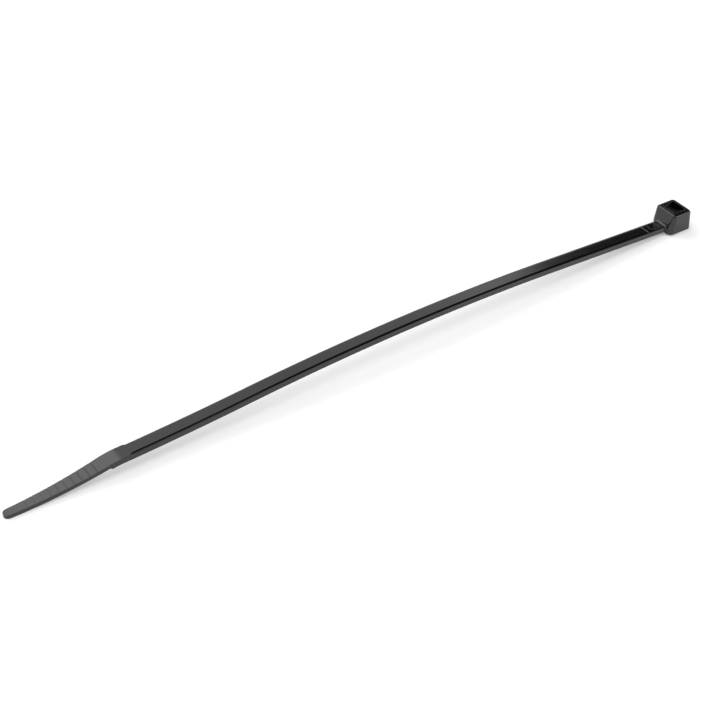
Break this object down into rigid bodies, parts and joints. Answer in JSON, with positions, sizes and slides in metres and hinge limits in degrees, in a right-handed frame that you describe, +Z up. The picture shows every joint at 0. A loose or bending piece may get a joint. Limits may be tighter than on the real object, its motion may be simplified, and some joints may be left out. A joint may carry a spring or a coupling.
{
  "type": "cable tie",
  "caption": "Black nylon cable tie moulded in one piece: ratchet head with a pawl in its slot, gently arched toothed strap, thin tapered tail with finger grips.",
  "frame": {"origin": "on the table, in the middle of the bounding box of the tie as it lies", "axes": "+X along the strap towards the head, +Y across the strap, +Z up"},
  "size_m": [0.1987, 0.0074, 0.007],
  "materials": {
    "black_nylon": "satin moulded black nylon"
  },
  "bodies": {
    "root": {"cable_tie": "black_nylon"}
  },
  "joints": []
}
